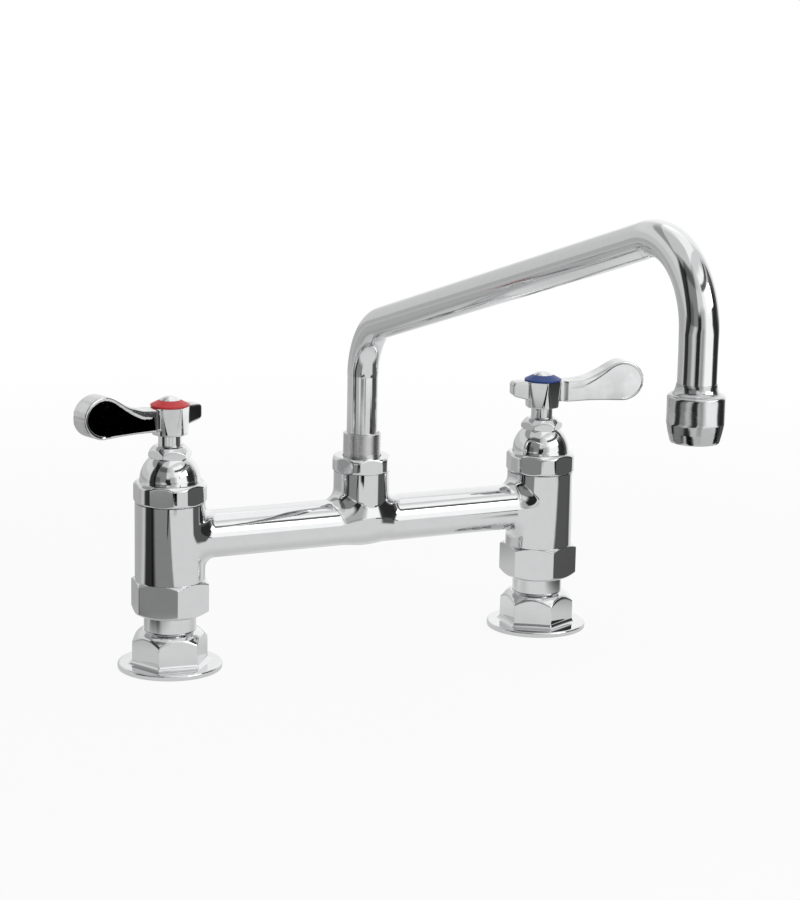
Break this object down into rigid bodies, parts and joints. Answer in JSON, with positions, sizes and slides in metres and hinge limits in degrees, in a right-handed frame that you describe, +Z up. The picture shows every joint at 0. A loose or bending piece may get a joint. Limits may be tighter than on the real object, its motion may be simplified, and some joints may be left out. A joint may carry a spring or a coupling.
{
  "type": "deck-mount faucet",
  "caption": "Deck-mount bridge faucet with lever-handle quarter-turn valves on flanged inlets, and a long bent swivel spout with an outlet nozzle.",
  "frame": {"origin": "on the deck surface, midway between the two inlet axes, below the spout's swivel axis", "axes": "+X from the hot inlet to the cold inlet, -Y forward along the spout towards the user, +Z up from the deck"},
  "size_m": [0.3092, 0.3459, 0.249],
  "materials": {
    "chrome_plate": "polished",
    "satin_steel": "brushed",
    "plain_brass": "machined",
    "black_rubber": "matte",
    "ceramic": "polished ceramic",
    "white_plastic": "matte",
    "red_enamel": "gloss",
    "blue_enamel": "gloss"
  },
  "bodies": {
    "faucet": {"bridge_body": "chrome_plate", "hot_deck_flange": "chrome_plate", "hot_tailpiece": "chrome_plate", "hot_coupling_nut": "chrome_plate", "hot_coupling_washer": "black_rubber", "hot_cartridge_sleeve": "white_plastic", "hot_seat_seal": "black_rubber", "hot_fixed_disc": "ceramic", "hot_bonnet": "chrome_plate", "hot_bonnet_seal": "black_rubber", "hot_thrust_washer": "white_plastic", "hot_packing_ring": "white_plastic", "hot_gland_nut": "chrome_plate", "cold_deck_flange": "chrome_plate", "cold_tailpiece": "chrome_plate", "cold_coupling_nut": "chrome_plate", "cold_coupling_washer": "black_rubber", "cold_cartridge_sleeve": "white_plastic", "cold_seat_seal": "black_rubber", "cold_fixed_disc": "ceramic", "cold_bonnet": "chrome_plate", "cold_bonnet_seal": "black_rubber", "cold_thrust_washer": "white_plastic", "cold_packing_ring": "white_plastic", "cold_gland_nut": "chrome_plate", "spout_nut": "chrome_plate"},
    "hot_handle": {"hot_turning_disc": "ceramic", "hot_stem": "chrome_plate", "hot_stem_orings": "black_rubber", "hot_lever_handle": "chrome_plate", "hot_index_ring": "red_enamel", "hot_index_button": "chrome_plate", "hot_handle_screw": "plain_brass"},
    "cold_handle": {"cold_turning_disc": "ceramic", "cold_stem": "chrome_plate", "cold_stem_orings": "black_rubber", "cold_lever_handle": "chrome_plate", "cold_index_ring": "blue_enamel", "cold_index_button": "chrome_plate", "cold_handle_screw": "plain_brass"},
    "spout": {"spout_tube": "chrome_plate", "spout_ferrule": "satin_steel", "spout_snap_ring": "satin_steel", "spout_orings": "black_rubber", "nozzle": "chrome_plate", "outlet_washer": "black_rubber", "flow_straightener": "white_plastic", "outlet_screen": "satin_steel", "outlet_retainer": "chrome_plate"}
  },
  "joints": [
    {"name": "hot_handle_turn", "type": "hinge", "parent": "faucet", "child": "hot_handle", "pos_m": [-0.1016, 0, 0.12], "axis": [0, 0, 1], "range_deg": [0, 90]},
    {"name": "cold_handle_turn", "type": "hinge", "parent": "faucet", "child": "cold_handle", "pos_m": [0.1016, 0, 0.12], "axis": [0, 0, 1], "range_deg": [-90, 0]},
    {"name": "spout_swivel", "type": "hinge", "parent": "faucet", "child": "spout", "pos_m": [0, 0, 0.09], "axis": [0, 0, 1], "continuous": true}
  ]
}
